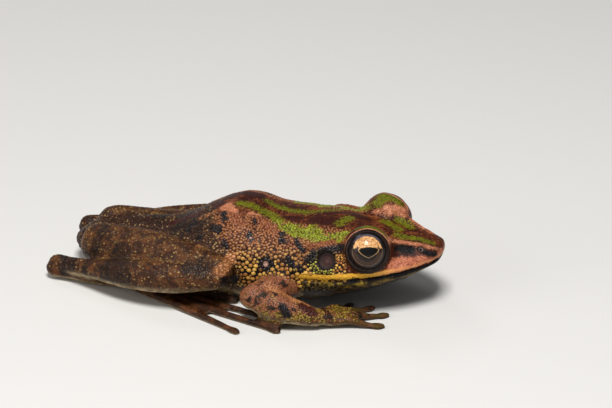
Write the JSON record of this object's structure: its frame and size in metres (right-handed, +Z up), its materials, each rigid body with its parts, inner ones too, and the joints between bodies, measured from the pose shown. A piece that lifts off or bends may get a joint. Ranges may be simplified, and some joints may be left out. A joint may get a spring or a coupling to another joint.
{
  "type": "swinhoe's frog",
  "caption": "Life-size model of a Swinhoe's frog at rest: crouched low on its belly with the legs folded and the head raised a little.",
  "frame": {"origin": "the middle of the bounding box's footprint, on the surface the frog rests on", "axes": "+X towards the snout, +Y towards the frog's left side, +Z up"},
  "size_m": [0.0624, 0.0354, 0.0147],
  "materials": {
    "back_skin": "moist, fine-grained, reddish brown marbled with green",
    "flank_skin": "moist, granular, pinkish brown over golden yellow",
    "throat_skin": "moist, dark brown mottled with yellow",
    "leg_skin": "moist, granular, dark brown",
    "arm_skin": "moist, pinkish brown with yellow mottling",
    "eye": "wet gloss, gold and dark brown iris",
    "tympanum": "smooth, thin, purplish brown"
  },
  "bodies": {
    "root": {"head": "back_skin", "lower_jaw": "throat_skin", "torso": "flank_skin", "eye_right": "eye", "tympanum_right": "tympanum", "upper_arm_right": "arm_skin", "forearm_right": "arm_skin", "hand_right": "arm_skin", "thigh_right": "leg_skin", "shank_right": "leg_skin", "foot_right": "leg_skin", "eye_left": "eye", "tympanum_left": "tympanum", "upper_arm_left": "arm_skin", "forearm_left": "arm_skin", "hand_left": "arm_skin", "thigh_left": "leg_skin", "shank_left": "leg_skin", "foot_left": "leg_skin"}
  },
  "joints": []
}
